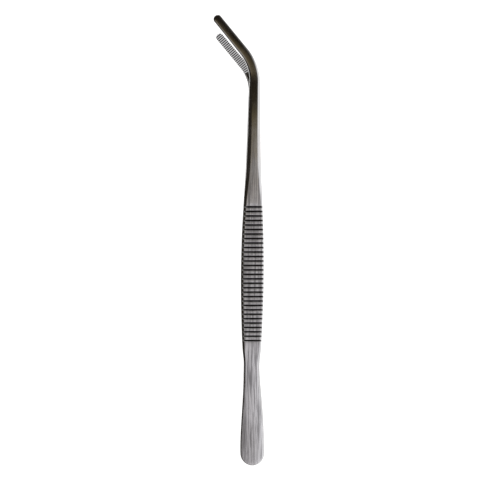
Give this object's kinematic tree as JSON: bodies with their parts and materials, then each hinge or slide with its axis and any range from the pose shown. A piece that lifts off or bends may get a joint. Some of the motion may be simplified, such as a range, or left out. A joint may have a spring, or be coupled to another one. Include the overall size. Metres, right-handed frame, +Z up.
{
  "type": "print tongs",
  "caption": "Long spring tongs for darkroom prints: steel blades welded at the heel, with a ridged grip and serrated jaws bent to one side.",
  "frame": {"origin": "under the middle of the tongs' bounding box, on the surface that they lie on", "axes": "+Y along the handle from the heel to the jaws, +Z up through both blades, +X to the right, away from the side that the jaws are bent to"},
  "size_m": [0.028, 0.252, 0.0391],
  "materials": {
    "satin_steel": "stainless steel, satin ground along the handle, brighter polish on the shank and jaws",
    "weld_steel": "weld metal, ground flush with the rim of the heel"
  },
  "bodies": {
    "lower_arm": {"lower_arm": "satin_steel"},
    "heel": {"upper_heel": "satin_steel", "lower_heel": "satin_steel", "heel_weld": "weld_steel"},
    "upper_arm": {"upper_arm": "satin_steel"}
  },
  "joints": [
    {"name": "lower_blade_flex", "type": "hinge", "parent": "lower_arm", "child": "heel", "pos_m": [0.00711, -0.09796, 0.00842], "axis": [-1, 0, 0], "range_deg": [0, 4.5], "stiffness_Nm_per_rad": 4},
    {"name": "upper_blade_flex", "type": "hinge", "parent": "heel", "child": "upper_arm", "pos_m": [0.00711, -0.09808, 0.01099], "axis": [-1, 0, 0], "range_deg": [0, 4.5], "stiffness_Nm_per_rad": 4}
  ],
  "couplings": [
    {"joint": "upper_blade_flex", "follows": "lower_blade_flex", "ratio": 1}
  ]
}
